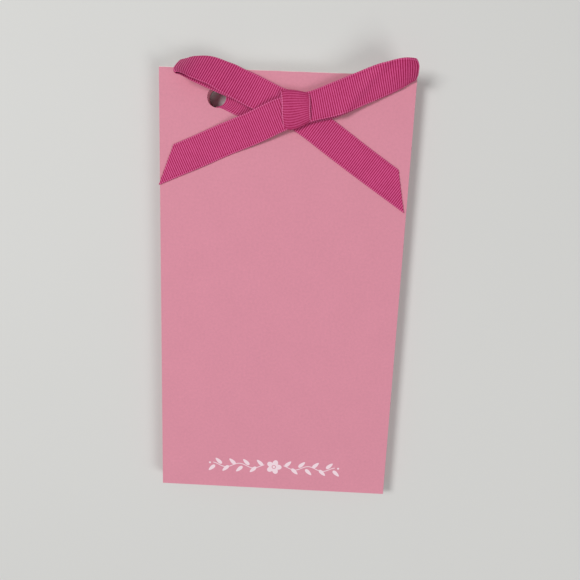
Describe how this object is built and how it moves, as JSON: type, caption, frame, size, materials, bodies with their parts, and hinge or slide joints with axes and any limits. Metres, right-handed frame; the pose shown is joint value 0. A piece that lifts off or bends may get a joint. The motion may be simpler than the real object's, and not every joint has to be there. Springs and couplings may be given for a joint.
{
  "type": "memo pad",
  "caption": "Tall top-glued memo pad with drilled holes through which a ribbon is threaded and tied in a flat bow on the front.",
  "frame": {"origin": "the point on the table under the middle of the pad's width, halfway between the pad's bottom edge and the top of the bow", "axes": "+Y runs from the pad's bottom edge to its glued top edge, +Z is the way the top sheet faces, +X is to the right when the front is read"},
  "size_m": [0.1214, 0.2225, 0.0236],
  "materials": {
    "sheet_block": "uncoated writing paper dyed pink, matte",
    "backing_board": "grey chipboard, matte",
    "glue_edge": "dried white padding glue, satin",
    "ribbon": "ribbed grosgrain weave, soft sheen"
  },
  "bodies": {
    "root": {"sheet_block": "sheet_block", "backing_board": "backing_board", "glue_edge": "glue_edge", "ribbon": "ribbon"}
  },
  "joints": []
}
